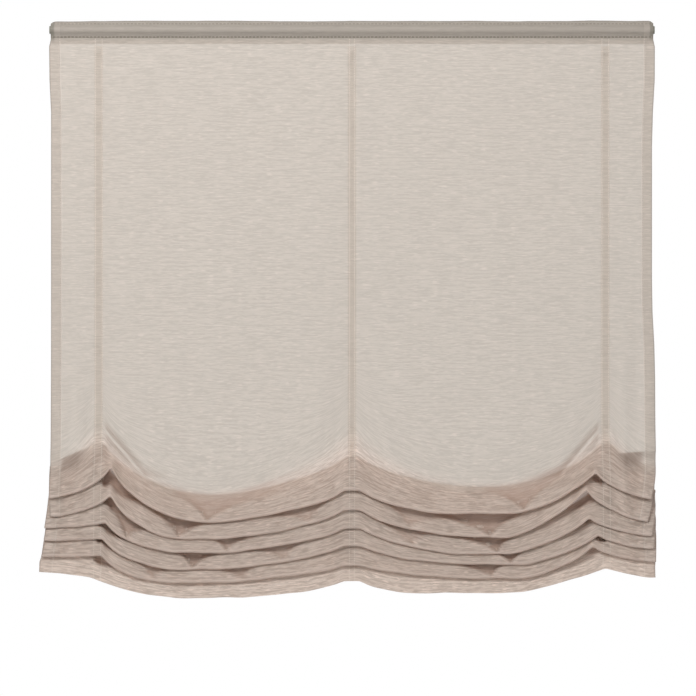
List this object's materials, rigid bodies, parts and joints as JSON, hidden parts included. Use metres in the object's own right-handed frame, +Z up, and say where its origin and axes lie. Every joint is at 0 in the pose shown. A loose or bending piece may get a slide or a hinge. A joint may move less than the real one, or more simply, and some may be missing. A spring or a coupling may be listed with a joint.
{
  "type": "roman blind",
  "caption": "Soft roman blind: sheer slubbed cloth on a head rod, its lower part gathered into swagged folds by cords that run through rings on tapes at the back.",
  "frame": {"origin": "middle of the head rod's axis, which is the axis of the peg sockets that the blind hangs by", "axes": "+X along the rod to the viewer's right, +Y from the cloth's front to its back, +Z up"},
  "size_m": [1.015, 0.0496, 0.9447],
  "materials": {
    "cloth": "sheer slub weave",
    "pocket_tape": "woven tape",
    "rod": "satin",
    "bush": "matt",
    "ring_tape": "woven tape",
    "cord": "braided",
    "ring": "smooth"
  },
  "bodies": {
    "root": {"fabric_panel": "cloth", "rod_pocket_tape": "pocket_tape", "head_rod": "rod", "rod_bush_left": "bush", "rod_bush_right": "bush", "ring_tape_left": "ring_tape", "ring_tape_centre": "ring_tape", "ring_tape_right": "ring_tape", "lift_cord_left": "cord", "lift_cord_centre": "cord", "lift_cord_right": "cord", "ring_left_1": "ring", "ring_left_2": "ring", "ring_left_3": "ring", "ring_left_4": "ring", "ring_left_5": "ring", "ring_left_6": "ring", "ring_left_7": "ring", "ring_left_8": "ring", "ring_left_9": "ring", "ring_left_10": "ring", "ring_left_11": "ring", "ring_centre_1": "ring", "ring_centre_2": "ring", "ring_centre_3": "ring", "ring_centre_4": "ring", "ring_centre_5": "ring", "ring_centre_6": "ring", "ring_centre_7": "ring", "ring_centre_8": "ring", "ring_centre_9": "ring", "ring_centre_10": "ring", "ring_centre_11": "ring", "ring_right_1": "ring", "ring_right_2": "ring", "ring_right_3": "ring", "ring_right_4": "ring", "ring_right_5": "ring", "ring_right_6": "ring", "ring_right_7": "ring", "ring_right_8": "ring", "ring_right_9": "ring", "ring_right_10": "ring", "ring_right_11": "ring"}
  },
  "joints": []
}
